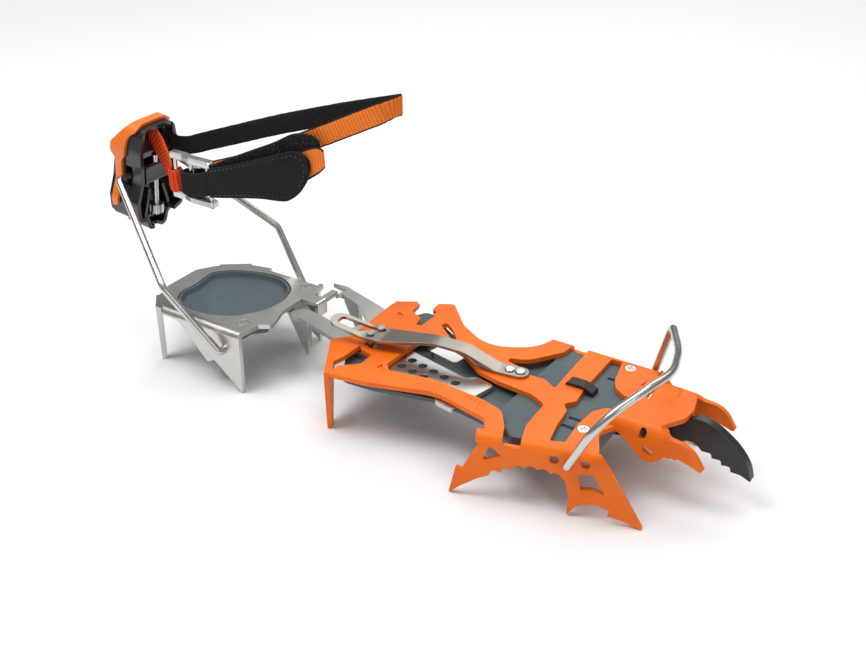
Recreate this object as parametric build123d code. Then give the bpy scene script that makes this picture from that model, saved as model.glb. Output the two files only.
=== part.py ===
"""Step-in crampon for a mountaineering boot, one right foot, in millimetres.

Every piece is built in the sole frame: X runs towards the toe, Y to the outer side of the foot, and
Z up from the plane that the boot's sole rests on. save() moves each piece so that the origin is at
the bottom centre of the whole crampon, at the points' tips.
"""
import os
from math import radians, sin, tan

from build123d import *

# ---- driving dimensions -------------------------------------------------------------------------
SOLE_HEIGHT = 36.0          # sole plane above the points' tips
ORIGIN_X = 0.3              # sole-frame position of the part's origin
ORIGIN_Y = -2.7
SHEET = 2.5                 # thickness of every stamped steel sheet
WIRE = 4.0                  # diameter of both bails
RUNNING = 0.05              # radial clearance of a pivot
GAP = 0.3                   # clearance between pieces that slide over each other

# heel plate
HEEL_MID_Y = -7.0
HEEL_HALF_WIDTH = 35.0
HEEL_REAR_X = -149.5
HEEL_FRONT_X = -76.5
HEEL_PIVOT = (-90.5, -12.7)          # x, z of the heel bail's holes
HOOK_Y = 11.5                        # the hook that holds the link's rear rail
HEEL_BEND_RADIUS = 4.0
HEEL_OVAL = [(-139.8, 6.5, 7), (-130.3, 15.5, 20), (-116, 21.6, 30), (-100, 22.2, 20), (-88, 14.5, 20),
             (-83.2, 1, 20), (-84.8, -13, 20), (-93, -26.5, 20), (-106, -33.6, 30), (-121, -34.4, 30),
             (-133.5, -30.5, 9), (-138.8, -21, 12), (-137.3, -11, 14), (-139.4, -2, 12)]
RIVET_HEAD = 3.2                     # radius of a flat rivet head

# link between heel plate and front frame
LINK_YAW = -12.0
LINK_TOP = -3.0                      # top face of the link
LINK_ORIGIN = (-76.0, 14.0)
HOLE_PITCH = 7.6
HOLE_ROWS = (-6.1, -13.4)
HOLE_RADIUS = 2.3
PIN_STATION = 64.8                   # distance of the latch pins along the link

# front frame and toe
CAGE_MID_Y = 8.0
CAGE_HALF_WIDTH = 21.0
CAGE_TOP = 6.0
CAGE_BEND = 5.5                      # outer bend radius between the cage's roof and walls
INNER_FLANGE_START = (59.0, -56.0)
INNER_FLANGE_YAW = 14.5
INNER_ALONG = Vector(1, 0, 0).rotate(Axis.Z, INNER_FLANGE_YAW)
FRAME_BEND_RADIUS = 4.6
COMB_TEETH = [(98.4, 25), (97.8, 16.5), (98.6, 1.5), (100.0, -16.5), (101.2, -24)]
OUTER_FLANGE_Y = 45.0
TOE_PIVOT = (114.0, -7.5)           # x, z of the toe bail's holes
BLADE_THICKNESS = 4.6

# heel lever
BAR_POINT = (-168.0, 62.0)           # x, z of the heel bail's top bar
BAR_HALF = 22.0
HEEL_BEND = (-118.0, 21.4)           # x, z where the heel bail's legs bend
HEEL_BEND_HALF = 46.5
LEVER_TILT = 6.0                     # the lever's top leans forward by this much, degrees
HEIGHT_TRAVEL = 3.1                  # the carriage's travel each way
SCREW_X = 5.2                        # the height screw's place in front of the bar

# toe bail
TOE_LEG_INNER = -45.5
TOE_LEG_OUTER = 48.8

# latch
LATCH_START = (60.75, 2.6)
LATCH_YAW = 8.9
LATCH_THICKNESS = 1.6
LATCH_PIN_TOP = 6.6

# ankle strap and buckle
WEBBING = 11.0
WEBBING_THICKNESS = 1.6
BUCKLE_BOTTOM = 53.0
BUCKLE_HEIGHT = 26.0
BUCKLE_RAIL = 4.0


# ---- helpers ------------------------------------------------------------------------------------
def rounded(points, radii, close):
    """Straight runs joined by tangent arcs; an arc takes at most half of the shorter run beside it."""
    corners = [Vector(*point) for point in points]
    count = len(corners)
    edges = []
    starts = {}
    ends = {}
    for index, (corner, radius) in enumerate(zip(corners, radii)):
        starts[index] = ends[index] = corner
        if radius == 0:
            continue
        back = corners[index - 1] - corner
        ahead = corners[(index + 1) % count] - corner
        half_angle = radians(back.get_angle(ahead) / 2)
        room = 0.49 * min(back.length, ahead.length)
        trim = min(radius / tan(half_angle), room)
        if trim < 0.02:
            continue
        radius = trim * tan(half_angle)
        inward = (back.normalized() + ahead.normalized()).normalized()
        starts[index] = corner + back.normalized() * trim
        ends[index] = corner + ahead.normalized() * trim
        middle = corner + inward * (radius / sin(half_angle) - radius)
        edges.append(ThreePointArc(starts[index], middle, ends[index]))
    for index in range(count if close else count - 1):
        start = ends[index]
        end = starts[(index + 1) % count]
        if (end - start).length > 0.001:
            edges.append(Line(start, end))
    return Wire(edges)


def outline(points, radius=0.0):
    """A flat face from its corners; a corner's third number is its own radius."""
    corners = [point[:2] for point in points]
    radii = [point[2] if len(point) > 2 else radius for point in points]
    return make_face(rounded(corners, radii, close=True).edges())


def slab(points, top, thickness=SHEET, radius=0.0):
    """A level sheet with the given top face height."""
    return extrude(Pos(0, 0, top - thickness) * outline(points, radius), amount=thickness)


def upright(points, start, yaw=0.0, thickness=SHEET, radius=0.0):
    """A vertical sheet: points are (distance along, z), and the sheet is centred on its plane."""
    plane = Plane(origin=(start[0], start[1], 0), x_dir=direction(yaw), z_dir=normal(yaw))
    return extrude(plane * outline(points, radius), amount=thickness / 2, both=True)


def direction(yaw):
    return Vector(1, 0, 0).rotate(Axis.Z, yaw)


def normal(yaw):
    return Vector(0, -1, 0).rotate(Axis.Z, yaw)


def rod(start, end, radius):
    """A round bar between two points."""
    axis = Vector(*end) - Vector(*start)
    return extrude(Plane(origin=start, z_dir=axis) * Circle(radius), amount=axis.length)


def wire(points, radii, diameter=WIRE):
    """Round spring wire bent at each inner point to the radius given for it."""
    path = rounded(points, [0, *radii, 0], close=False)
    start = Plane(origin=path @ 0, z_dir=path % 0)
    return sweep(start * Circle(diameter / 2), path=path)


def fold(start, end, outward, radius):
    """The cutter and the quarter ring that turn a sharp sheet corner along a top edge into a bend."""
    along = Vector(*outward, 0).cross(Vector(0, 0, 1))
    length = abs((Vector(*end) - Vector(*start)).dot(along))
    first = start if (Vector(*end) - Vector(*start)).dot(along) > 0 else end
    plane = Plane(origin=(*first, 0), x_dir=(*outward, 0), z_dir=along)
    disc = Pos(-radius, -radius) * Circle(radius)
    core = Pos(-radius, -radius) * Circle(radius - SHEET)
    corner = Pos(-radius / 2 + 1, -radius / 2 + 1) * Rectangle(radius + 2, radius + 2)
    quarter = Pos(-radius / 2, -radius / 2) * Rectangle(radius, radius)
    return extrude(plane * (corner - disc), amount=length), extrude(plane * ((disc & quarter) - core),
                                                                    amount=length)


def joined(pieces):
    """All the pieces as one solid."""
    body = pieces[0]
    for piece in pieces[1:]:
        body = body + piece
    return body


def save(part, name):
    moved = Pos(-ORIGIN_X, -ORIGIN_Y, SOLE_HEIGHT) * part
    solids = moved.solids()
    export_step(Compound(solids) if len(solids) > 1 else solids[0], f"parts/{name}.step")
    box = moved.bounding_box()
    print(f"{name:24s} {len(solids)} solids, x {box.min.X:7.1f} {box.max.X:7.1f},"
          f" y {box.min.Y:6.1f} {box.max.Y:6.1f}, z {box.min.Z:6.1f} {box.max.Z:6.1f}")


# ---- heel ---------------------------------------------------------------------------------------
def heel_plate():
    inner = HEEL_MID_Y - HEEL_HALF_WIDTH
    outer = HEEL_MID_Y + HEEL_HALF_WIDTH
    top = slab([(HEEL_REAR_X, 3, 6), (-143, 13, 8), (-127, 25, 10), (-114, outer, 4),
                (HEEL_FRONT_X, outer, 1), (HEEL_FRONT_X, -9, 3), (-71, -24, 3), (-77.5, -28, 2.5),
                (-79, inner), (-112, inner, 2), (-136, inner, 3), (-145, -32, 6), (-149, -20, 3)],
               top=0)
    oval = extrude(Pos(0, 0, -4) * outline(HEEL_OVAL), amount=6)
    side = [(-121, -5.5, 4), (-103, -23.8), (-98, -21), (-79.4, -36, 0.4), (-79.2, 0)]
    inner_cut, inner_bend = fold((-134, inner), (-79.2, inner), (0, -1), HEEL_BEND_RADIUS)
    outer_cut, outer_bend = fold((-114, outer), (-79.2, outer), (0, 1), HEEL_BEND_RADIUS)
    sheet = joined([top,
                    upright([(-134, 0)] + side, (0, inner + SHEET / 2)),
                    upright([(-114, 0), (-113, -9, 3)] + side[1:], (0, outer - SHEET / 2))])
    sheet = joined([sheet - inner_cut - outer_cut, inner_bend, outer_bend,
                    rear_tooth((-136, inner), (-145.5, -31.5)),
                    rear_tooth((-127, 25.5), (-142, 14.5))])
    tab = [(HEEL_FRONT_X - 2, 0), (-65.2, 0, 1.5), (-65.2, -9.2, 1.5), (-70.5, -9.2), (-70.5, -7.2),
           (-67.2, -7.2), (-67.2, -2), (HEEL_FRONT_X - 2, -2)]
    sheet = sheet + upright(tab, (0, HOOK_Y), thickness=8)
    holes = [rod((HEEL_PIVOT[0], inner - 5, HEEL_PIVOT[1]), (HEEL_PIVOT[0], outer + 5, HEEL_PIVOT[1]),
                 WIRE / 2 + RUNNING)]
    return sheet - oval - joined(holes + rivet_seats(HEEL_RIVETS))


def rivet_seats(places):
    """Through holes with counterbores that take the rivets' flat heads."""
    return [Pos(x, y, 0) * (Cylinder(1.6, 14) + Cylinder(RIVET_HEAD + 0.05, 2)) for x, y in places]


HEEL_RIVETS = ((-84.0, 21.0), (-86.0, -30.5))


def rear_tooth(start, end):
    """A tooth bent down along the chamfer that runs from start to end."""
    edge = Vector(end[0] - start[0], end[1] - start[1], 0)
    plane = Plane(origin=(start[0], start[1], 0), x_dir=edge, z_dir=edge.cross(Vector(0, 0, 1)))
    length = edge.length
    shape = outline([(0, 0), (length, 0), (length * 0.80, -20, 20), (length * 0.62, -36, 0.5),
                     (length * 0.42, -36, 0.5), (length * 0.2, -20, 20)])
    return extrude(plane * shape, amount=SHEET / 2, both=True)


def heel_antiball():
    """Rubber dish: a rim lip in the oval and a skirt under the plate."""
    skirt = slab([(-146, 4, 6), (-139, 13, 8), (-126, 22, 8), (-112, 25, 4), (-81, 25, 3),
                  (-81, -9, 3), (-74, -25, 3), (-80, -31, 3), (-80, -38, 3), (-133, -38, 3),
                  (-142, -31, 6), (-146, -20, 3)], top=-SHEET - 0.1, thickness=2.6)
    oval = outline(HEEL_OVAL)
    rim = extrude(Pos(0, 0, -4.4) * offset(oval, -0.6), amount=4.2)
    dish = extrude(Pos(0, 0, -0.2) * offset(oval, -2.0), amount=-2.6, taper=28)
    rivets = joined([Pos(x, y, -3) * Cylinder(1.6, 12) for x, y in HEEL_RIVETS])
    slot = Pos(-68, HOOK_Y, -4) * Box(8, 12, 14)
    return skirt + rim - dish - rivets - slot


def rivets(places, shank_bottom, radius=1.55):
    """Flat-headed rivets with a cross mark, flush with the sole plane."""
    group = []
    for x, y in places:
        shank = Pos(x, y, shank_bottom / 2) * Cylinder(radius, -shank_bottom)
        head = Pos(x, y, -0.48) * Cylinder(RIVET_HEAD, 0.92)
        head = chamfer(head.edges().group_by(Axis.Z)[-1], 0.3)
        foot = Pos(x, y, shank_bottom - 0.6) * Cylinder(RIVET_HEAD - 0.6, 1.2)
        cross = Pos(x, y, 0) * (Box(3.6, 0.8, 0.8) + Box(0.8, 3.6, 0.8))
        group.append(shank + head + foot - cross)
    return Compound(group)


# ---- link ---------------------------------------------------------------------------------------
def along_link(shape):
    """Places a shape drawn along the link's own axis."""
    return Pos(LINK_ORIGIN[0], LINK_ORIGIN[1], 0) * Rot(0, 0, LINK_YAW) * shape


def link_bar():
    frame = slab([(0, -16.5, 1), (46, -19.5, 12), (56, -20, 4), (118, -20, 3), (122, -24.5, 2),
                  (133, -24.5, 2), (133, 5.5, 2), (122, 5.5, 2), (118, 0.6, 3), (62, 0.6, 14),
                  (44, 21, 10), (3, 25, 3), (-6, 22, 2)], top=LINK_TOP)
    opening = slab([(6, -7.5, 3), (34, -8, 6), (41, -7, 6), (41, 6, 7), (24, 14.5, 12), (6, 17, 3)],
                   top=0, thickness=12)
    holes = [Pos(PIN_STATION + HOLE_PITCH * step, row, LINK_TOP) * Cylinder(HOLE_RADIUS, 12)
             for step in range(-1, 8) for row in HOLE_ROWS]
    tooth = [(0.6, LINK_TOP), (20, LINK_TOP), (19.6, -22, 0.5), (17.8, -24, 0.3)]
    teeth = [upright(tooth, (0, -17 + SHEET / 2), yaw=-3.6), upright(tooth, (0, 23 - SHEET / 2), yaw=-6)]
    bar = joined([frame] + teeth) - opening - joined(holes)
    rear_slot = slab([(-8, -12), (6, -12), (6, 22), (-8, 22)], top=0, thickness=12)
    return along_link(bar - rear_slot) + crossbar()


def crossbar():
    """The link's rear rail, which the heel plate's hook wraps around."""
    return Pos(-70.8, 12.3, LINK_TOP - SHEET / 2) * Box(3.6, 36, SHEET)


# ---- front frame --------------------------------------------------------------------------------
def front_frame():
    top = slab([(-31.5, 31, 2), (-3, 48, 3), (14, 30.5, 16), (36, 18, 26), (57, 31, 20),
                (61.5, 46.2, 1.5), (115.6, 46.2, 3), (122.5, 37, 4), (122.5, -12, 1), (118, -21, 8),
                (126.5, -37.5, 2), (INNER_FLANGE_START[0] + 16, -51.5, 1), (69, -39.5, 8),
                (37, -33, 24), (4, -43.5, 24), (-17, -47, 2), (-35, -17.5, 2), (-29.5, -11.5, 3)],
               top=0)
    windows = [inner_window(), outer_rear_window(), inner_rear_window(), toe_window(), side_window()]
    recesses = [slab([(3.6, 24.3, 1), (4.8, 28, 1), (10.8, 24.1, 1), (19, 15.6, 1), (16, 14.8, 1)], top=1,
                     thickness=5),
                along_link(Pos(PIN_STATION, sum(HOLE_ROWS) / 2, 0) * Box(6.4, 11.8, 8))]
    marks = [slab(points, top=0.5, thickness=1.3) for points in
             ([(0, -29.5), (5, -30.5), (0.5, -25.5)], [(-23, 24.5), (-18.5, 22), (-22.5, 21)])]
    ticks = [Pos(52 + 2.6 * step, -28.6 - 0.3 * step, 0) * Box(0.5, 4.2, 0.5) for step in range(5)]
    plate = top - joined(windows + recesses + marks + ticks)
    plate = plate + joined([Pos(x, y, -SHEET / 2) * Box(6, 2.8, SHEET) for x, y in COMB_TEETH])
    inner_ends = [(INNER_FLANGE_START[0] + INNER_ALONG.X * run, INNER_FLANGE_START[1] + INNER_ALONG.Y * run)
                  for run in (12, 72)]
    inner_cut, inner_bend = fold(*inner_ends, tuple(normal(INNER_FLANGE_YAW))[:2], FRAME_BEND_RADIUS)
    outer_face = OUTER_FLANGE_Y + SHEET / 2
    outer_cut, outer_bend = fold((60, outer_face), (119.5, outer_face), (0, 1), FRAME_BEND_RADIUS)
    walls = [inner_flange(), outer_flange()]
    inner_bend = inner_bend & slab([(74, -60), (60, -20), (120, -20), (127, -50)], top=1, thickness=20)
    body = joined([plate, *walls]) - inner_cut - outer_cut
    body = joined([body, inner_bend, outer_bend]) - joined(windows)
    body = joined([body, toe_cage(),
                   corner_tooth((-35.2, -18.5), (-17.6, -47.5)),
                   corner_tooth((-20.6, 38.6), (-31.2, 32.2))])
    holes = rivet_seats(LOBE_RIVETS)
    holes += [Pos(x, y, -SHEET) * Cylinder(2.1, 12) for x, y in LATCH_RIVETS]
    holes.append(rod((TOE_PIVOT[0], -60, TOE_PIVOT[1]), (TOE_PIVOT[0], 60, TOE_PIVOT[1]),
                     WIRE / 2 + RUNNING))
    return body - joined(holes)


LOBE_RIVETS = ((106.0, 38.5), (111.0, -22.5))
LATCH_RIVETS = ((58.0, 2.2), (63.5, 3.0))


def inner_window():
    """The long opening beside the latch, over the link's tongue."""
    return slab([(3.5, 4, 1), (2.5, -24, 1), (7, -28.5, 3), (30, -23.5, 20), (58, -26, 10),
                 (72, -29.5, 10), (80, -41, 6), (83.5, -49.5, 1), (92, -47.5, 1), (87.5, -34, 4),
                 (86, -14, 4), (77, -9.5, 8), (58, -8, 10), (44, -4.5, 10), (28, 6, 4), (18, 9, 3)],
                top=1, thickness=5)


def outer_rear_window():
    """The gap between the rear block and the outer rail, open at the edge."""
    return slab([(-20.4, 46), (-18.4, 33.3, 1), (-17.6, 29, 2), (-9.6, 24.9, 3), (-8, 18, 0.8), (-5, 17.6, 0.8),
                 (-4.6, 30.8, 2), (-6.7, 35.5, 1), (-9.8, 36.8, 1), (-10.4, 46)], top=1, thickness=5)


def inner_rear_window():
    return slab([(-19.5, -15.5, 0.5), (-17, -19, 2), (-9, -21, 1), (-8.5, -31, 2), (-17, -38.5, 2),
                 (-16.5, -44, 0.5), (-21.5, -36.5, 2), (-20, -30, 2)], top=1, thickness=5)


def side_window():
    """The opening behind the cross plate, on the outer side."""
    return slab([(46, 12.5, 2), (60, 17.5, 14), (71.5, 35, 6), (71.2, 52), (80.2, 52),
                 (82.5, 14, 2), (83.5, 1, 1), (76, 6, 6), (66, 5.5, 6), (60, 9.5, 6)],
                top=1, thickness=5)


def toe_window():
    """The opening between the comb of the cross plate and the toe lobes."""
    return slab([(94.4, 41.5, 1), (100.2, 41.5, 1), (104.5, 24, 6), (108, 17.5, 3), (114, 13.5, 2),
                 (120.5, 13, 1), (123.5, 5, 2), (119.5, 1.5, 2), (112, -1, 3), (108, -7, 4),
                 (107, -20, 3), (109, -36.5, 1), (102.5, -39.5, 1), (99.5, -27, 1), (97.5, -13, 2),
                 (93.5, -8.5, 2), (97.5, -3.5, 2), (95.5, 10, 1)], top=1, thickness=5)


def inner_flange():
    """The inner side wall: a barbed rear point, a scalloped edge and two forward points."""
    wall = outline([(13.5, 0), (16.0, -1, 2), (5.9, -21.6), (3.2, -20.8), (-0.2, -36, 0.4),
                    (6, -30.6, 30), (14, -24.6, 12), (20, -21.5, 2), (30.5, -15.8, 12), (39, -13, 20),
                    (54.6, -15.5, 4), (57.2, -24, 20), (56.5, -36, 0.4), (60.5, -29.5, 6),
                    (68, -26.2, 10), (76.5, -28.8), (75.4, -31.6), (84, -33.2, 20), (91.8, -36, 0.4),
                    (76.5, -9.5, 10), (70, 0)])
    scallops = [Pos(x, z - 1.6) * Circle(3.2)
                for x, z in ((22.5, -20.2), (28.1, -17.2), (33.7, -15),
                             (39.3, -14), (44.9, -14.2), (50.5, -15.1))]
    windows = [outline([(19.4, -5.6, 0.8), (25.4, -10, 0.4), (15.8, -14.4, 0.8)]),
               outline([(61, -12, 0.8), (67.7, -11, 0.8), (73.8, -20.6, 0.5), (68, -19, 6),
                        (62.2, -20.2, 0.8)])]
    holes = [Pos(49.6, -6.4) * Circle(2.4), Pos(63.8, -5.8) * Circle(2.4)]
    shape = wall
    for cut in scallops + windows + holes:
        shape = shape - cut
    plane = Plane(origin=(INNER_FLANGE_START[0], INNER_FLANGE_START[1] + SHEET / 2, 0),
                  x_dir=direction(INNER_FLANGE_YAW), z_dir=normal(INNER_FLANGE_YAW))
    return extrude(plane * shape, amount=SHEET / 2, both=True)


def outer_flange():
    """The outer side wall, straight along the foot."""
    wall = outline([(61, 0), (61, -4), (54, -19), (51.3, -18.4), (49, -36, 0.4), (55, -29.5, 30),
                    (63, -24, 12), (80, -15.2, 20), (100, -14, 20), (107, -24, 12), (108, -36, 0.4),
                    (112, -29.5, 6), (119, -26, 10), (128, -29), (127, -31.6), (136, -33.4, 20),
                    (143.5, -36, 0.4), (128, -9.5, 10), (119, 0)])
    cuts = [Pos(x, z - 1.6) * Circle(3.2)
            for x, z in ((68.5, -21), (74.1, -18.2), (79.7, -16.2),
                         (85.3, -15.3), (90.9, -14.9), (96.5, -14.9))]
    cuts += [outline([(69, -6, 0.8), (75, -10, 0.4), (65, -14, 0.8)]),
             outline([(112, -13, 0.8), (119, -11.5, 0.8), (125, -20.6, 0.5), (119, -19, 6),
                      (113, -20.2, 0.8)]),
             Pos(100, -6.4) * Circle(2.4), Pos(119.5, -5.8) * Circle(1.8)]
    shape = wall
    for cut in cuts:
        shape = shape - cut
    plane = Plane(origin=(0, OUTER_FLANGE_Y, 0), x_dir=(1, 0, 0), z_dir=(0, -1, 0))
    return extrude(plane * shape, amount=SHEET / 2, both=True)


def corner_tooth(start, end):
    """A creased tooth bent down along a rear corner."""
    edge = Vector(end[0] - start[0], end[1] - start[1], 0)
    plane = Plane(origin=(start[0], start[1], 0), x_dir=edge, z_dir=edge.cross(Vector(0, 0, 1)))
    length = edge.length
    shape = outline([(0, 0), (length, 0), (length, -6, 4), (length * 0.86, -36, 1.5),
                     (length * 0.70, -36, 1.5), (length * 0.42, -16, 14)])
    blade = extrude(plane * shape, amount=SHEET / 2, both=True)
    crease = outline([(length * 0.66, -6, 0.5), (length * 0.80, -31, 0.5), (length * 0.84, -6, 0.5)])
    return blade - extrude(plane.offset(SHEET / 2 - 0.8) * crease, amount=2)


def toe_cage():
    """The raised saddle over the toe, with side walls that end in forward claws."""
    inner = CAGE_MID_Y - CAGE_HALF_WIDTH
    outer = CAGE_MID_Y + CAGE_HALF_WIDTH
    skin = Plane.YZ * outline([(inner, -30), (inner, CAGE_TOP, CAGE_BEND), (outer, CAGE_TOP, CAGE_BEND),
                               (outer, -30)])
    core = Plane.YZ * outline([(inner + SHEET, -31), (inner + SHEET, CAGE_TOP - SHEET, CAGE_BEND - SHEET),
                               (outer - SHEET, CAGE_TOP - SHEET, CAGE_BEND - SHEET), (outer - SHEET, -31)])
    channel = Pos(114, 0, 0) * extrude(skin - core, amount=60)
    side = upright([(114, -SHEET), (117, 0, 4), (123, CAGE_TOP, 4), (142, CAGE_TOP, 4), (149, 2.2, 3),
                    (156, 1.6, 10), (161, -1, 10), (166, -8.5, 0.8), (164.5, -9.6, 0.8), (156, -7, 2),
                    (149, -7.6, 2), (145.5, -10, 2), (140.5, -13.4, 4), (136, -12.4, 3), (124, -SHEET, 3)],
                   (0, CAGE_MID_Y), thickness=60)
    roof_side = upright([(122, 20), (122, -4), (170, -4), (170, 20)], (0, CAGE_MID_Y), thickness=60)
    roof_plan = slab([(120, inner), (120, outer), (141, outer, 6), (147, 24, 10), (150.5, 11, 10),
                      (150, 2, 6), (144.5, -7, 3), (142, inner, 2)], top=20, thickness=40)
    roof = channel & roof_side & roof_plan & Pos(0, 0, CAGE_TOP) * Box(400, 200, 2 * CAGE_BEND)
    ramp = upright([(117, 0), (118.6, 0, 2), (124, CAGE_TOP, 4), (126, CAGE_TOP), (126, CAGE_TOP - SHEET),
                    (124.6, CAGE_TOP - SHEET, 3), (119.4, -SHEET, 3), (117, -SHEET)], (0, CAGE_MID_Y),
                   thickness=2 * (CAGE_HALF_WIDTH - CAGE_BEND + 1))
    cage = joined([roof, channel & side & walls_only(), ramp])
    pocket = slab([(127, 9, 4), (133, 5.5, 4), (139.5, 8, 5), (139.5, 24, 4), (127, 26, 3)],
                  top=20, thickness=40)
    slit = slab([(124.4, 18.5, 0.5), (126, 18.5, 0.5), (133.4, 4.8, 0.5), (131.4, 4.8, 0.5)],
                top=20, thickness=40)
    slots = [Pos(135.7, 0, 0.6) * Rot(90, 0, 0) * extrude(SlotOverall(6.2, 3.6, rotation=75), 80, both=True),
             Pos(138.8, 0, -7.6) * Rot(90, 0, 0) * extrude(SlotOverall(6.4, 3.4, rotation=-30), 80, both=True)]
    bites = [Pos(147.6 + 3.3 * step, 0, -9.2 + 0.6 * step) * Rot(90, 0, 0)
             * extrude(Circle(1.5), 80, both=True) for step in range(3)]
    scoop = Plane.YZ * outline([(25.8, CAGE_TOP - 0.2), (25.8, CAGE_TOP - SHEET), (14, 2.2, 10),
                                (7, -2), (6, -0.4), (13, 4.4, 10)])
    scoop = Pos(127.6, 0, 0) * extrude(scoop, amount=11.3)
    return cage - joined([pocket, slit] + slots + bites) + scoop


def walls_only():
    """The space of the cage's side walls below and beside its roof."""
    inner = Pos(0, CAGE_MID_Y - CAGE_HALF_WIDTH, 0) * Box(400, 2 * CAGE_BEND, 80)
    outer = Pos(0, CAGE_MID_Y + CAGE_HALF_WIDTH, 0) * Box(400, 2 * CAGE_BEND, 80)
    return inner + outer


def front_antiball():
    """Rubber plate under the front frame, with a raised pad ahead of the link's tongue."""
    low = slab([(-27, 25, 4), (-22.4, 29.5, 3), (-17, 41, 3), (-6, 42, 3), (2, 32, 8), (12, 26.4, 10),
                (36, 16, 20), (56, 27, 10), (64, 41, 3),
                (112, 41, 3), (112, -34, 3), (84, -41, 4), (66, -34, 6), (37, -30, 20), (2, -38, 10),
                (-14, -39, 4), (-27, -19, 4)], top=-6.2, thickness=2.2)
    ahead = slab([(69, 41, 3), (119.6, 41, 3), (119.6, -26, 3), (106, -38, 3), (84, -42.5, 3),
                  (75, -34, 4), (69, -31, 4)], top=-SHEET - 0.1, thickness=5.9)
    link_room = slab([(5, 8, 2), (25, 4, 2), (27, 14, 2), (8, 20, 2)], top=0, thickness=20)
    hollow = slab([(74, 36, 3), (114, 36, 3), (114, -22, 3), (104, -33, 3), (86, -37, 3), (74, -28, 3)],
                  top=-4.4, thickness=6)
    rivet_holes = joined([Pos(x, y, -4) * Cylinder(1.6, 16) for x, y in LOBE_RIVETS])
    comb_slots = joined([Pos(102.4, y, -4) * Box(6.4, 2.4, 3.2) for y in (27.6, -14, -21.5)])
    bar = slab([(10, -6), (42, -13), (44, -6), (12, 2)], top=-3.2, thickness=3.4)
    return (low + ahead - hollow - link_room - rivet_holes - comb_slots) + (bar - along_link(tongue_room()))


def tongue_room():
    return slab([(40, -30), (180, -30), (180, 6.5), (40, 6.5)], top=0, thickness=6.0)


def antiball_tab():
    """Black hook of the rubber plate that clips over the cross plate."""
    hook = outline([(86, 0.2), (87, 1.9, 1), (95, 2.1, 1.5), (101, -0.2, 1), (101, -SHEET - 0.1),
                    (97.7, -SHEET - 0.1), (97.7, 0.2)])
    plane = Plane(origin=(0, 10, 0), x_dir=(1, 0, 0), z_dir=(0, -1, 0))
    return extrude(plane * hook, amount=3, both=True)


def blade():
    """The single front point, a curved serrated blade on edge."""
    shape = outline([(107, -13, 2), (118, -10.5, 3), (124, -4, 3), (139.4, -3, 1), (141.5, 2.9, 2),
                     (150.8, 2.9, 1), (152.8, 5, 2), (158, 5.2, 16), (165, 2.6, 30), (174.5, -4, 30),
                     (180.6, -11.5, 20),
                     (182.6, -19.4, 0.5), (177.4, -17.2, 6), (172.6, -17.2), (172.2, -14.6, 3),
                     (167.9, -15.2), (167.6, -12.8, 3), (163, -13.2), (162.6, -10.8, 3), (158, -11.2),
                     (154, -7.6, 6), (149, -8.4, 8), (143.4, -13), (140.5, -11, 2), (128, -15, 6),
                     (107, -19.5, 2)])
    plane = Plane(origin=(0, CAGE_MID_Y, 0), x_dir=(1, 0, 0), z_dir=(0, -1, 0))
    body = extrude(plane * shape, amount=BLADE_THICKNESS / 2, both=True)
    bores = [rod((x, -20, z), (x, 40, z), 2.1) for x, z in BLADE_BOLTS]
    return body - joined(bores)


BLADE_BOLTS = ((126.0, -9.5), (138.8, -7.2))


def blade_cheek():
    """Orange plate beside the blade, which takes up the room to the cage's outer wall."""
    shape = outline([(121, -5.5, 2), (142, -3.5, 2), (147, -8, 3), (147.5, -16.4, 1.8), (144, -17.6, 1.5),
                     (139, -12, 4), (122, -13.5, 2)])
    plane = Plane(origin=(0, CAGE_MID_Y + BLADE_THICKNESS / 2 + 1.4, 0), x_dir=(1, 0, 0), z_dir=(0, -1, 0))
    body = extrude(plane * shape, amount=1.3, both=True)
    return body - joined([rod((x, -20, z), (x, 40, z), 2.1) for x, z in BLADE_BOLTS])


# ---- bolts --------------------------------------------------------------------------------------
def blade_bolts():
    """Socket cap bolts through the cheek and blade."""
    group = []
    for x, z in BLADE_BOLTS:
        near = CAGE_MID_Y - BLADE_THICKNESS / 2
        head = rod((x, near - 3.0, z), (x, near - 0.02, z), 3.4)
        shank = rod((x, near - 1, z), (x, near + 12.4, z), 2.0)
        socket = Plane(origin=(x, near - 3.0, z), z_dir=(0, 1, 0)) * RegularPolygon(1.5, 6)
        group.append(head + shank - extrude(socket, amount=1.6))
    return Compound(group)


def blade_nuts():
    group = []
    for x, z in BLADE_BOLTS:
        face = CAGE_MID_Y + BLADE_THICKNESS / 2 + 2.75
        nut = Plane(origin=(x, face, z), z_dir=(0, 1, 0)) * RegularPolygon(3.8, 6)
        group.append(extrude(nut, amount=3.2) - rod((x, face - 1, z), (x, face + 5, z), 2.02))
    return Compound(group)


# ---- latch --------------------------------------------------------------------------------------
def along_latch(shape):
    """Places a shape drawn backwards along the latch from its rivets."""
    return Pos(LATCH_START[0], LATCH_START[1], 0) * Rot(0, 0, LATCH_YAW) * shape


def latch_pin_places():
    """Where the latch pins stand over the two rows of holes in the link's tongue."""
    return [along_link(Pos(PIN_STATION, row, 0)).position for row in HOLE_ROWS]


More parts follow.
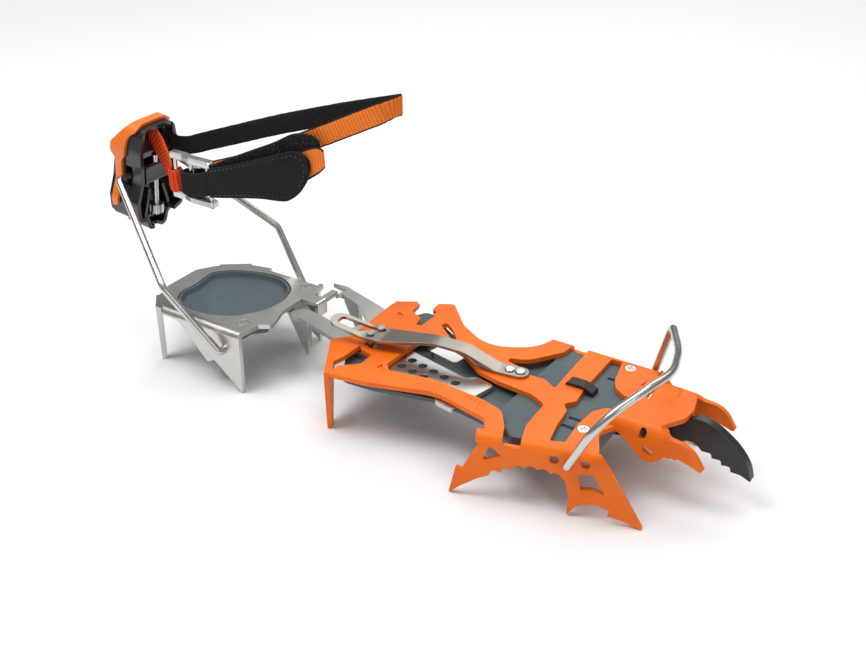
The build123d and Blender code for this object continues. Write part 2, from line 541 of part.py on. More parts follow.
def latch_spring():
    """Long steel leaf that arches over the frame and ends in a finger loop."""
    under = [(7, 0.1), (-9, 0.1, 10), (-26, 6.8, 20), (-42, 7.6, 40), (-70, 4.6, 20), (-81, 4.6, 20),
             (-102, 8.6)]
    over = [(x, z + LATCH_THICKNESS) + tuple(radius) for x, z, *radius in reversed(under)]
    strip = upright(under + over, (0, 0), thickness=24)
    plan = slab([(7, -4.6, 4.5), (-20, -4.4, 20), (-44, -3.8, 30), (-62, -7, 10), (-72, -8.4, 6),
                 (-101, -6.6, 6), (-101, 6.6, 6), (-66, 6.2, 20), (-20, 4.6, 20), (7, 4.6, 4.5)],
                top=20, thickness=40)
    loop = slab([(-97, -3.4, 2.6), (-84, -3.8, 2), (-80, 0.6, 1.5), (-72, 1.6, 1), (-72, 4.4, 1),
                 (-97, 3.6, 2.6)], top=20, thickness=40)
    rivet_holes = [Pos(x, y, 0) * Cylinder(1.6, 30) for x, y in LATCH_RIVETS]
    pin_holes = [Pos(place.X, place.Y, 0) * Cylinder(1.3, 30) for place in latch_pin_places()]
    return along_latch((strip & plan) - loop) - joined(rivet_holes + pin_holes)


def latch_pins():
    """Two dowels that drop through the frame to the tongue, with peened heads on the leaf."""
    group = []
    for place in latch_pin_places():
        shank = Pos(place.X, place.Y, (LATCH_PIN_TOP + LINK_TOP + GAP) / 2) * Cylinder(
            1.28, LATCH_PIN_TOP - LINK_TOP - GAP)
        head = Pos(place.X, place.Y, LATCH_PIN_TOP + 0.4) * Cylinder(2.1, 0.8)
        collar = Pos(place.X, place.Y, LATCH_PIN_TOP - LATCH_THICKNESS - 0.9) * Cylinder(2.0, 1.0)
        group.append(shank + head + collar)
    return Compound(group)


def latch_rivets():
    group = []
    for x, y in LATCH_RIVETS:
        shank = Pos(x, y, -1.2) * Cylinder(1.58, 6.4)
        head = Pos(x, y, 2.2) * Cylinder(2.6, 0.9)
        head = fillet(head.edges().group_by(Axis.Z)[-1], 0.6)
        group.append(shank + head + Pos(x, y, -4.5) * Cylinder(2.7, 1.0))
    return Compound(group)


# ---- bails --------------------------------------------------------------------------------------
def toe_bail():
    """Spring wire over the boot's toe, its ends turned in through the side walls."""
    x, z = TOE_PIVOT
    return wire([(x, -37.5, z), (x, TOE_LEG_INNER, z), (128.5, TOE_LEG_INNER + 1, 22), (141, -24, 32.5),
                 (144, -4, 31.5), (136, 22, 27.5), (123, TOE_LEG_OUTER - 3.4, 25.5),
                 (x, TOE_LEG_OUTER, z), (x, 42.4, z)], radii=[2.6, 26, 34, 40, 80, 5, 2.6])


def heel_bail():
    """Spring wire behind the heel, with a top bar that carries the lever."""
    x, z = HEEL_PIVOT
    bend_x, bend_z = HEEL_BEND
    top_x, top_z = BAR_POINT
    inner = HEEL_MID_Y - HEEL_HALF_WIDTH
    outer = HEEL_MID_Y + HEEL_HALF_WIDTH
    return wire([(x, inner + 4, z), (x, inner - 3.2, z), (bend_x, HEEL_MID_Y - HEEL_BEND_HALF, bend_z),
                 (top_x, HEEL_MID_Y - BAR_HALF, top_z), (top_x, HEEL_MID_Y + BAR_HALF, top_z),
                 (bend_x, HEEL_MID_Y + HEEL_BEND_HALF, bend_z), (x, outer + 3.2, z),
                 (x, outer - 4, z)], radii=[2.4, 8, 3.2, 3.2, 8, 2.4])


# ---- heel lever ---------------------------------------------------------------------------------
def along_lever(shape):
    """Places a shape drawn about the bail's top bar, with Z up the lever."""
    return Pos(BAR_POINT[0], HEEL_MID_Y, BAR_POINT[1]) * Rot(0, LEVER_TILT, 0) * shape


def lever_face(grow=0.0):
    """The lever's outline seen from the front, as (y, z)."""
    right = [(6.5, -34.5, 3.5), (8.5, -27.5, 3), (17, -24.5, 3), (18, -14, 5), (14, -2, 12), (14.5, 14, 14),
             (11.5, 28, 6)]
    corners = right + [(-y, z, radius) for y, z, radius in reversed(right)]
    face = Plane.YZ * outline(corners)
    return offset(face, grow) if grow else face


def lever_prism(back, front, grow=0.0):
    return Pos(back, 0, 0) * extrude(lever_face(grow), amount=front - back)


def lever_roof(rise):
    """Everything above the slanted back of the lever's head, raised by so much."""
    rise_x, rise_z = -0.746 * rise, 0.666 * rise
    slope = [(-28 + rise_x, -3.8 + rise_z), (2 + rise_x, 29.8 + rise_z)]
    return upright(slope + [(2 + rise_x, 60), (-28 + rise_x, 60)], (0, 0), thickness=80)


def lever_body():
    """Hollow plastic lever, open towards the boot, with side slots for the bail's bar."""
    shell = lever_prism(-9.6, 9) - lever_prism(-4.8, 20, grow=-2.2)
    ribs = [Pos(1.2, y, -20) * Rot(turn, 0, 0) * Box(12, 1.8, 22) for y, turn in ((-8, -16), (8, 16))]
    ribs += [Pos(0.4, 0, -25.6) * Box(10.4, 14, 1.8), Pos(0.6, 0, 9.6 + 9) * Box(10.8, 40, 18)]
    ribs.append(Pos(-2.4, 0, -21) * Box(4.8, 40, 23))
    back = lever_prism(-12.8, -9.5, grow=-0.8)
    back = back & upright([(-9.4, -31), (-12.6, -22, 8), (-12.8, 0, 20), (-10.6, 10, 3), (-9.4, 11.4)], (0, 0),
                          thickness=60)
    hollow = Plane.YZ * outline([(-7.2, 24, 2.5), (7.2, 24, 2.5), (3.6, 14.5, 2), (-3.6, 14.5, 2)])
    hollow = Pos(2.2, 0, 0) * extrude(hollow, amount=10)
    body = shell + ((joined(ribs) - hollow) & lever_prism(-5, 9, grow=-0.4))
    front = upright([(6.2, -40), (6.2, -18, 30), (4.5, 6, 20), (9.5, 30), (20, 30), (20, -40)], (0, 0),
                    thickness=21)
    slots = Box(2 * (WIRE / 2 + 0.6), 60, 2 * (WIRE / 2 + HEIGHT_TRAVEL + 0.5))
    screw_room = Pos(SCREW_X, 0, -26) * Cylinder(2.6, 30) + Pos(SCREW_X, 0, 4) * Cylinder(2.3, 15)
    wheel_room = Pos(SCREW_X, 0, -22.3) * Cylinder(4.9, 6.6)
    webbing_room = Pos(7, -0.5, 12) * Rot(0, 0, -18) * Box(20, 3.6, 18)
    body = (body + back) - front - slots - screw_room - wheel_room - webbing_room - lever_roof(0)
    return along_lever(body)


def lever_shell():
    """Orange cover over the lever's back and top."""
    ring = lever_prism(-11.5, 6, grow=1.8) - lever_prism(-12, 7, grow=0.1)
    side = upright([(-8.4, -19, 1), (-4.2, -17, 1), (-3.6, 9, 3), (-1.5, 11, 2), (-0.5, 22, 6), (5, 26, 4),
                    (6, 40), (-11.5, 40), (-11.5, 12, 2), (-8.4, 9, 3)], (0, 0), thickness=60)
    back = lever_prism(-11.5, -9.7, grow=0.4) & upright([(-12, 12), (-9, 12), (-9, 40), (-12, 40)], (0, 0),
                                                        thickness=60)
    crown = lever_prism(-11.5, 1.8, grow=1.8) & (lever_roof(0.1) - lever_roof(1.8))
    return along_lever(((ring & side) + back) - lever_roof(1.8) + crown)


def carriage():
    """Plastic block on the bail's top bar, threaded on the height screw."""
    block = Pos(1.6, 0, 0) * Box(11.6, 18, 11)
    block = fillet(block.edges().filter_by(Axis.Y), 1.5)
    bore = Rot(90, 0, 0) * Cylinder(WIRE / 2 + RUNNING, 40)
    thread = Pos(SCREW_X, 0, 0) * Cylinder(1.65, 30)
    return along_lever(block - bore - thread)


def height_screw():
    """Adjusting screw with a knurled thumb wheel at the lever's foot."""
    shaft = Pos(SCREW_X, 0, -8.5) * Cylinder(1.6, 36)
    wheel = Pos(SCREW_X, 0, -22.5) * Cylinder(4.2, 5)
    knurl = [Pos(SCREW_X, 0, -22.5) * Rot(0, 0, 30 * step) * Pos(4.4, 0, 0) * Cylinder(0.6, 8)
             for step in range(12)]
    return along_lever(shaft + wheel - joined(knurl))


# ---- ankle strap --------------------------------------------------------------------------------
def strip_plan(points, radii, thickness):
    """The plan outline of a strip of even thickness along a path."""
    path = [Vector(*point) for point in points]
    sides = ([], [])
    for index, point in enumerate(path):
        before = path[max(index - 1, 0)]
        after = path[min(index + 1, len(path) - 1)]
        into = (point - before).normalized() if index else (after - point).normalized()
        out = (after - point).normalized() if index < len(path) - 1 else into
        across = (into + out).normalized().rotate(Axis.Z, 90)
        reach = thickness / 2 / across.dot(into.rotate(Axis.Z, 90))
        for side, sign in zip(sides, (1, -1)):
            offset_point = point + across * reach * sign
            side.append((offset_point.X, offset_point.Y, radii[index]))
    return sides[0] + sides[1][::-1]


def ribbon(plan, radii, heights, width=WEBBING, thickness=WEBBING_THICKNESS):
    """Webbing on edge: its path in plan, and its middle height as (x, z) points."""
    lower = [(x, z - width / 2, 20) for x, z in heights]
    upper = [(x, z + width / 2, 20) for x, z in reversed(heights)]
    sheet = slab(strip_plan(plan, radii, thickness), top=150, thickness=150)
    return sheet & upright(lower + upper, (0, 0), thickness=200)


def ankle_strap():
    """The loop that goes round the ankle, from the lever's outer side to the buckle."""
    outer = ribbon([(-155.8, 6.9), (-140, 10.5), (-80, 13), (-14, 9), (-7, 0.6)], [0, 20, 60, 9, 0],
                   [(-160, 73.4), (-152, 74), (-140, 77.6), (-86, 97.2), (-12, 122), (0, 126)])
    inner = ribbon([(-7, 0.6), (-15, -7), (-50, -11.2), (-111.5, -12.4)], [0, 9, 40, 0],
                   [(-113, 74), (-85, 85.4), (-48, 103.8), (-12, 122), (0, 126)])
    return outer + inner


def anchor_webbing():
    """Short webbing from inside the lever to the buckle's rear bar."""
    return ribbon([(-160.4, -7.2), (-153, -8.2), (-142.8, -12.2)], [0, 12, 0],
                  [(-164, 78.5), (-153, 73), (-142, 66)], width=12.5)


def buckle_frame():
    """Steel rectangle: two bowed side rails and two round bars."""
    rails = []
    for low in (BUCKLE_BOTTOM, BUCKLE_BOTTOM + BUCKLE_HEIGHT - BUCKLE_RAIL):
        rail = outline([(-143.5, -14.8, 1.2), (-134, -14.8, 4), (-128, -16.6, 4), (-113, -16.6, 1.2),
                        (-113, -11.2, 1.2), (-128, -11.2, 4), (-134, -10, 4), (-143.5, -10, 1.2)])
        rail = extrude(Pos(0, 0, low) * rail, amount=BUCKLE_RAIL)
        rails.append(chamfer(rail.edges().group_by(Axis.Z)[-1] + rail.edges().group_by(Axis.Z)[0], 0.7))
    bars = [rod((x, y, BUCKLE_BOTTOM + 1), (x, y, BUCKLE_BOTTOM + BUCKLE_HEIGHT - 1), 1.4)
            for x, y in ((-141, -12.4), (-115.5, -14))]
    return joined(rails + bars)


def buckle_bar():
    return rod((-128.5, -13.6, BUCKLE_BOTTOM + BUCKLE_RAIL + 0.1),
               (-128.5, -13.6, BUCKLE_BOTTOM + BUCKLE_HEIGHT - BUCKLE_RAIL - 0.1), 1.5)


def buckle_wrap():
    """Black webbing doubled round the buckle's middle bar."""
    loop = outline([(-135, -17.4, 2.5), (-121, -17.4, 1), (-121, -9.6, 1), (-135, -9.6, 2.5)])
    wrap = extrude(Pos(0, 0, BUCKLE_BOTTOM + 5.7) * loop, amount=BUCKLE_HEIGHT - 11.4)
    return wrap - rod((-128.5, -13.6, 40), (-128.5, -13.6, 100), 1.51)


def sloped_pad(side, start_y, thickness):
    """A flat upright pad whose outline is given as (x, z)."""
    return upright(side, (0, start_y), thickness=thickness)


def hook_band():
    """Fuzzy fastening band behind the pull tab."""
    return sloped_pad([(-112.4, 66, 1.5), (-70, 82, 60), (-50, 92, 8), (-40.6, 102, 4), (-42, 107.4, 4),
                       (-56, 106.8, 9), (-85, 92.4, 60), (-112.4, 78, 1.5)], -15.0, 1.8)


def pull_tab():
    """Rounded grip patch sewn on the strap's end."""
    return sloped_pad([(-111, 61.6, 1.5), (-88, 66.6, 60), (-64, 70, 12), (-50, 77.5, 9), (-43.6, 90, 9),
                       (-45, 99.6, 5), (-55, 100, 8), (-86, 86.4, 60), (-111, 77.8, 1.5)], -19.6, 2.4)


def strap_tail():
    """The fold of spare webbing that shows past the pull tab."""
    return sloped_pad([(-78, 76, 1), (-60, 76, 6), (-47.5, 83.6, 1), (-35.6, 94.2, 2), (-34.2, 97.4, 2),
                       (-38.2, 104, 1.5), (-60, 96, 4)], -17.3, 1.3)


# ---- build --------------------------------------------------------------------------------------
PIECES = {
    "heel_plate": heel_plate,
    "heel_antiball_dish": heel_antiball,
    "heel_rivets": lambda: rivets(HEEL_RIVETS, shank_bottom=-6.0),
    "link_bar": link_bar,
    "front_frame": front_frame,
    "front_antiball_plate": front_antiball,
    "antiball_hook": antiball_tab,
    "toe_rivets": lambda: rivets(LOBE_RIVETS, shank_bottom=-9.2),
    "front_point": blade,
    "point_cheek": blade_cheek,
    "point_bolts": blade_bolts,
    "point_nuts": blade_nuts,
    "latch_spring": latch_spring,
    "latch_pins": latch_pins,
    "latch_rivets": latch_rivets,
    "toe_bail": toe_bail,
    "heel_bail": heel_bail,
    "lever_body": lever_body,
    "lever_shell": lever_shell,
    "height_carriage": carriage,
    "height_screw": height_screw,
    "ankle_strap": ankle_strap,
    "anchor_webbing": anchor_webbing,
    "buckle_frame": buckle_frame,
    "buckle_bar": buckle_bar,
    "buckle_wrap": buckle_wrap,
    "hook_band": hook_band,
    "pull_tab": pull_tab,
    "strap_tail": strap_tail,
}

os.makedirs("parts", exist_ok=True)
for node, build in PIECES.items():
    save(build(), node)
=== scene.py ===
"""The look of a step-in crampon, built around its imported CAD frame. Lengths in the code are in metres
unless a name or comment says millimetres."""
import math

import bpy
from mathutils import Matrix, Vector, noise


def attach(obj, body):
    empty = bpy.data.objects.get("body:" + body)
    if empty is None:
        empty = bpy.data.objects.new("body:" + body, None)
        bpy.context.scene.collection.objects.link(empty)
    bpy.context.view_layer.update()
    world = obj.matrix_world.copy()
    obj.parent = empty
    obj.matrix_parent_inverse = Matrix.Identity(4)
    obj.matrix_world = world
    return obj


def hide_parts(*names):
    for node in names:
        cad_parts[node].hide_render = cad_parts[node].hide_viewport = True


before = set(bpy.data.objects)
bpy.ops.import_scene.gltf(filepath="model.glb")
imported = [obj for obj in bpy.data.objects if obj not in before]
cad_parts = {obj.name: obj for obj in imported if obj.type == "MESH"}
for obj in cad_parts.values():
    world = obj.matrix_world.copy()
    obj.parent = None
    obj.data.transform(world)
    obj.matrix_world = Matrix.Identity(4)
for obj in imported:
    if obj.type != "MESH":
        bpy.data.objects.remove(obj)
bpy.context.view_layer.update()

MM = 0.001
ORIGIN = Vector((0.3, -2.7, -36.0))      # the part's origin in the sole frame, in millimetres
UP = Vector((0, 0, 1))
NEAR_SIDE = Vector((0, -1, 0))           # the foot's inner side, where the tab's face is
RIB_PITCH = 1.9 * MM                     # from one rib of the webbing to the next
WAVE_PERIOD = 0.314                      # length of one band of the wave texture at scale 1
STITCH_STEP = 0.25 * MM
STITCH_SIDES = 6
TAPE_STEPS = 12                          # divisions across the webbing's face


def place(x, y, z):
    """A point given in the sole frame in millimetres, as metres in the part's frame."""
    return (Vector((x, y, z)) - ORIGIN) * MM


# ---- materials ----------------------------------------------------------------------------------
class Surface:
    """A Principled material with helpers that add procedural detail to it."""

    def __init__(self, name, base, roughness, metallic=0.0, **sockets):
        self.material = bpy.data.materials.new(name)
        self.material.use_nodes = True
        self.tree = self.material.node_tree
        self.shader = self.tree.nodes["Principled BSDF"]
        self.set("Base Color", (*base, 1))
        self.set("Roughness", roughness)
        self.set("Metallic", metallic)
        for socket, value in sockets.items():
            self.set(socket.replace("_", " "), value)
        self.colour = None
        self.normal = None

    def set(self, socket, value):
        self.shader.inputs[socket].default_value = value

    def node(self, kind, **values):
        made = self.tree.nodes.new(kind)
        for name, value in values.items():
            if name in made.inputs:
                made.inputs[name].default_value = value
            else:
                setattr(made, name, value)
        return made

    def link(self, output, target):
        self.tree.links.new(output, target)

    def place(self, scale=(1, 1, 1), source="Object"):
        """Texture coordinates stretched by scale."""
        coordinates = self.node("ShaderNodeTexCoord")
        mapping = self.node("ShaderNodeMapping")
        mapping.inputs["Scale"].default_value = scale
        self.link(coordinates.outputs[source], mapping.inputs["Vector"])
        return mapping.outputs["Vector"]

    def noise(self, scale, detail=3.0, stretch=(1, 1, 1), source="Object"):
        texture = self.node("ShaderNodeTexNoise", Scale=scale, Detail=detail)
        self.link(self.place(stretch, source), texture.inputs["Vector"])
        return texture.outputs["Fac"]

    def ramp(self, value, low, high, first=(0, 0, 0), last=(1, 1, 1)):
        ramp = self.node("ShaderNodeValToRGB")
        ramp.color_ramp.elements[0].position = low
        ramp.color_ramp.elements[0].color = (*first, 1)
        ramp.color_ramp.elements[1].position = high
        ramp.color_ramp.elements[1].color = (*last, 1)
        self.link(value, ramp.inputs["Fac"])
        return ramp.outputs["Color"]

    def tint(self, factor, colour):
        """Blends the colour so far towards another one by a factor."""
        mix = self.node("ShaderNodeMix", data_type="RGBA")
        mix.inputs[7].default_value = (*colour, 1)
        if self.colour is None:
            mix.inputs[6].default_value = self.shader.inputs["Base Color"].default_value
        else:
            self.link(self.colour, mix.inputs[6])
        self.link(factor, mix.inputs[0])
        self.colour = mix.outputs[2]
        self.link(self.colour, self.shader.inputs["Base Color"])
        return self

    def rough(self, value, low, high):
        spread = self.node("ShaderNodeMapRange")
        spread.inputs["To Min"].default_value = low
        spread.inputs["To Max"].default_value = high
        self.link(value, spread.inputs["Value"])
        self.link(spread.outputs["Result"], self.shader.inputs["Roughness"])
        return self

    def bump(self, value, distance, strength=1.0):
        bump = self.node("ShaderNodeBump", Distance=distance, Strength=strength)
        self.link(value, bump.inputs["Height"])
        if self.normal is not None:
            self.link(self.normal, bump.inputs["Normal"])
        self.normal = bump.outputs["Normal"]
        self.link(self.normal, self.shader.inputs["Normal"])
        return self

    def soft_edges(self, radius):
        """Rounds the shading of sharp sheet edges."""
        bevel = self.node("ShaderNodeBevel", samples=4, Radius=radius)
        self.normal = bevel.outputs["Normal"]
        self.link(self.normal, self.shader.inputs["Normal"])
        return self

    def edges(self, radius, colour, low=0.02, high=0.25):
        """Changes the colour along sharp edges: a painted highlight where edges catch the light."""
        bevel = self.node("ShaderNodeBevel", samples=4, Radius=radius)
        geometry = self.node("ShaderNodeNewGeometry")
        dot = self.node("ShaderNodeVectorMath", operation="DOT_PRODUCT")
        self.link(bevel.outputs["Normal"], dot.inputs[0])
        self.link(geometry.outputs["Normal"], dot.inputs[1])
        edge = self.node("ShaderNodeMapRange")
        edge.inputs["From Min"].default_value = 1 - low
        edge.inputs["From Max"].default_value = 1 - high
        self.link(dot.outputs["Value"], edge.inputs["Value"])
        return self.tint(edge.outputs["Result"], colour)

    def waves(self, scale, axis="X", source="UV", stretch=(1, 1, 1)):
        wave = self.node("ShaderNodeTexWave", wave_type="BANDS", bands_direction=axis, Scale=scale)
        self.link(self.place(stretch, source), wave.inputs["Vector"])
        return wave.outputs["Fac"]


def orange_coat():
    surface = Surface("orange_coat", (0.90, 0.170, 0.006), 0.42, Specular_IOR_Level=0.28)
    surface.soft_edges(0.35 * MM)
    mottling = surface.noise(55, detail=4)
    surface.tint(surface.ramp(mottling, 0.42, 0.72), (0.84, 0.140, 0.005))
    # painted highlight: a lighter orange along the sharp sheet edges
    surface.edges(0.4 * MM, (0.95, 0.27, 0.03))
    surface.rough(surface.noise(140, detail=5), 0.34, 0.48)
    return surface.bump(surface.noise(1400, detail=2), 0.03 * MM, 0.5).material


def brushed(name, base, stretch, low, high):
    surface = Surface(name, base, 0.3, metallic=1.0)
    surface.soft_edges(0.3 * MM)
    surface.tint(surface.ramp(surface.noise(30, detail=5), 0.35, 0.75), tuple(0.82 * c for c in base))
    grain = surface.noise(320, detail=4, stretch=stretch)
    surface.rough(grain, low, high)
    return surface.bump(grain, 0.02 * MM, 0.12).material


def wire_steel():
    surface = Surface("wire_steel", (0.60, 0.59, 0.56), 0.2, metallic=1.0)
    surface.tint(surface.ramp(surface.noise(45, detail=3), 0.4, 0.7), (0.48, 0.47, 0.44))
    drawn = surface.noise(260, detail=3, stretch=(1, 1, 0.12))
    return surface.rough(drawn, 0.16, 0.32).bump(drawn, 0.01 * MM, 0.3).material


def rubber(name, base, mottle_tone):
    surface = Surface(name, base, 0.55)
    surface.soft_edges(0.3 * MM)
    surface.tint(surface.ramp(surface.noise(70, detail=5), 0.45, 0.8), mottle_tone)
    # painted highlight: the edges turn a colour half again lighter than the mottling
    surface.edges(0.5 * MM, tuple(1.5 * c for c in mottle_tone))
    surface.rough(surface.noise(220, detail=4), 0.44, 0.66)
    return surface.bump(surface.noise(2600, detail=2), 0.03 * MM, 0.6).material


def black_steel():
    surface = Surface("black_steel", (0.016, 0.016, 0.014), 0.36)
    surface.soft_edges(0.35 * MM)
    surface.tint(surface.ramp(surface.noise(90, detail=5), 0.5, 0.8), (0.035, 0.035, 0.03))
    # painted highlight: a grey along the sharp edges of the black steel
    surface.edges(0.45 * MM, (0.15, 0.15, 0.14))
    surface.rough(surface.noise(200, detail=4), 0.30, 0.46)
    return surface.bump(surface.noise(1800, detail=2), 0.02 * MM, 0.5).material


def plastic(name, base, roughness, mottle_tone):
    surface = Surface(name, base, roughness, Coat_Weight=0.4, Coat_Roughness=0.12)
    surface.soft_edges(0.5 * MM)
    surface.tint(surface.ramp(surface.noise(60, detail=4), 0.45, 0.8), mottle_tone)
    surface.rough(surface.noise(160, detail=4), roughness - 0.06, roughness + 0.12)
    return surface.bump(surface.noise(900, detail=3), 0.03 * MM, 0.4).material


def webbing_cloth(name, base, shade, border=None):
    """Woven tape: ribs across it and fine warp lines along it; UV x is across, y is along in millimetres."""
    surface = Surface(name, base, 0.85, Specular_IOR_Level=0.3)
    ribs = surface.waves(WAVE_PERIOD / (RIB_PITCH / MM), axis="Y")
    surface.tint(surface.ramp(ribs, 0.0, 0.55, first=(1, 1, 1), last=(0, 0, 0)), shade)
    warp = surface.waves(WAVE_PERIOD * 26, axis="X")
    surface.tint(surface.ramp(warp, 0.0, 0.35, first=(0.45, 0.45, 0.45), last=(0, 0, 0)), shade)
    fuzz = surface.noise(900, detail=3)
    lighter = tuple(min(1, 1.5 * c + 0.01) for c in base)
    surface.tint(surface.ramp(fuzz, 0.5, 0.8, last=(0.35, 0.35, 0.35)), lighter)
    if border:
        split = surface.node("ShaderNodeSeparateXYZ")
        surface.link(surface.place(source="UV"), split.inputs["Vector"])
        away = surface.node("ShaderNodeMath", operation="SUBTRACT")
        away.inputs[1].default_value = 0.5
        surface.link(split.outputs["X"], away.inputs[0])
        distance = surface.node("ShaderNodeMath", operation="ABSOLUTE")
        surface.link(away.outputs[0], distance.inputs[0])
        surface.tint(surface.ramp(distance.outputs[0], 0.425, 0.432), border)
    surface.bump(warp, 0.06 * MM, 0.6)
    return surface.bump(fuzz, 0.05 * MM, 0.5).material


def hook_cloth():
    surface = Surface("hook_cloth", (0.004, 0.004, 0.004), 0.9, Specular_IOR_Level=0.3)
    dots = surface.node("ShaderNodeTexVoronoi", Scale=900)
    surface.link(surface.place(), dots.inputs["Vector"])
    surface.tint(surface.ramp(dots.outputs["Distance"], 0.05, 0.5, first=(0.55, 0.55, 0.55), last=(0, 0, 0)),
                 (0.09, 0.09, 0.085))
    surface.bump(dots.outputs["Distance"], 0.25 * MM, 0.8)
    return surface.bump(surface.noise(2200, detail=4), 0.12 * MM, 0.8).material


def patch_cloth():
    surface = Surface("patch_cloth", (0.006, 0.006, 0.007), 0.75, Specular_IOR_Level=0.25)
    surface.tint(surface.ramp(surface.noise(120, detail=4), 0.45, 0.8), (0.010, 0.010, 0.011))
    surface.rough(surface.noise(300, detail=4), 0.65, 0.85)
    return surface.bump(surface.noise(3000, detail=3), 0.03 * MM, 0.7).material


def thread():
    surface = Surface("black_thread", (0.03, 0.03, 0.032), 0.7, Sheen_Weight=0.2)
    surface.tint(surface.noise(2500), (0.07, 0.07, 0.075))
    return surface.bump(surface.noise(4000), 0.03 * MM).material


def floor_paint():
    surface = Surface("studio_floor", (0.93, 0.93, 0.93), 0.7)
    surface.tint(surface.ramp(surface.noise(3, detail=3), 0.3, 0.8), (0.90, 0.90, 0.90))
    return surface.bump(surface.noise(300), 0.02 * MM, 0.2).material


ORANGE = (0.95, 0.24, 0.030)
STAINLESS = brushed("stainless", (0.64, 0.63, 0.60), (1, 0.06, 1), 0.26, 0.38)
BRIGHT = brushed("bright_steel", (0.66, 0.66, 0.64), (1, 1, 0.2), 0.20, 0.36)
SPRING = brushed("spring_steel", (0.36, 0.33, 0.29), (0.06, 1, 1), 0.26, 0.38)
COAT = orange_coat()
WIRE = wire_steel()
BLACK_STEEL = black_steel()
BLACK_PLASTIC = plastic("black_plastic", (0.012, 0.012, 0.014), 0.2, (0.02, 0.021, 0.024))
ORANGE_PLASTIC = plastic("orange_plastic", (0.90, 0.19, 0.008), 0.34, (0.82, 0.15, 0.006))
DISH_RUBBER = rubber("dish_rubber", (0.075, 0.105, 0.120), (0.095, 0.125, 0.14))
PLATE_RUBBER = rubber("plate_rubber", (0.070, 0.100, 0.110), (0.09, 0.12, 0.13))
HOOK_RUBBER = rubber("hook_rubber", (0.012, 0.012, 0.012), (0.03, 0.03, 0.03))
STRAP_OUTER = webbing_cloth("strap_outer", ORANGE, (0.70, 0.14, 0.014), border=(0.012, 0.012, 0.012))
STRAP_INNER = webbing_cloth("strap_inner", (0.017, 0.017, 0.017), (0.004, 0.004, 0.004))
RED_WEB = webbing_cloth("red_web", (0.88, 0.085, 0.012), (0.55, 0.04, 0.006))
HOOK_CLOTH = hook_cloth()
PATCH_CLOTH = patch_cloth()
THREAD = thread()

NODE_MATERIALS = {
    "heel_plate": STAINLESS, "heel_antiball_dish": DISH_RUBBER, "heel_rivets": BRIGHT,
    "link_bar": STAINLESS, "front_frame": COAT, "front_antiball_plate": PLATE_RUBBER,
    "antiball_hook": HOOK_RUBBER, "toe_rivets": BRIGHT, "front_point": BLACK_STEEL,
    "point_cheek": COAT, "point_bolts": BLACK_STEEL, "point_nuts": BRIGHT,
    "latch_spring": SPRING, "latch_pins": BRIGHT, "latch_rivets": BRIGHT,
    "toe_bail": WIRE, "heel_bail": WIRE, "lever_body": BLACK_PLASTIC,
    "lever_shell": ORANGE_PLASTIC, "height_carriage": BLACK_PLASTIC, "height_screw": BRIGHT,
    "buckle_frame": BRIGHT, "buckle_bar": BRIGHT,
}
for node, material in NODE_MATERIALS.items():
    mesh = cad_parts[node].data
    mesh.materials.clear()
    mesh.materials.append(material)


# ---- shapes -------------------------------------------------------------------------------------
def smooth_path(points, step):
    """Evenly spaced points on a smooth curve through the given ones."""
    padded = [2 * points[0] - points[1], *points, 2 * points[-1] - points[-2]]
    fine = []
    for before, start, end, after in zip(padded, padded[1:], padded[2:], padded[3:]):
        for index in range(40):
            t = index / 40
            fine.append(0.5 * ((2 * start) + (end - before) * t
                               + (2 * before - 5 * start + 4 * end - after) * t * t
                               + (3 * start - before - 3 * end + after) * t * t * t))
    fine.append(points[-1])
    return evenly(fine, step)


def evenly(points, step):
    """The same polyline with points a step apart."""
    lengths = [0.0]
    for start, end in zip(points, points[1:]):
        lengths.append(lengths[-1] + (end - start).length)
    count = max(2, round(lengths[-1] / step))
    spread = []
    segment = 0
    for index in range(count + 1):
        wanted = lengths[-1] * index / count
        while segment < len(points) - 2 and lengths[segment + 1] < wanted:
            segment += 1
        span = lengths[segment + 1] - lengths[segment]
        share = (wanted - lengths[segment]) / span if span else 0
        spread.append(points[segment].lerp(points[segment + 1], share))
    return spread


def mesh_object(name, vertices, faces, materials, uvs=None, indices=None, smooth=True):
    mesh = bpy.data.meshes.new(name)
    mesh.from_pydata(vertices, [], faces)
    for material in materials:
        mesh.materials.append(material)
    if indices:
        mesh.polygons.foreach_set("material_index", indices)
    if uvs:
        layer = mesh.uv_layers.new(name="UVMap")
        for polygon in mesh.polygons:
            for loop in polygon.loop_indices:
                layer.data[loop].uv = uvs[mesh.loops[loop].vertex_index]
    mesh.polygons.foreach_set("use_smooth", [smooth] * len(faces))
    mesh.validate()
    made = bpy.data.objects.new(name, mesh)
    bpy.context.scene.collection.objects.link(made)
    return made


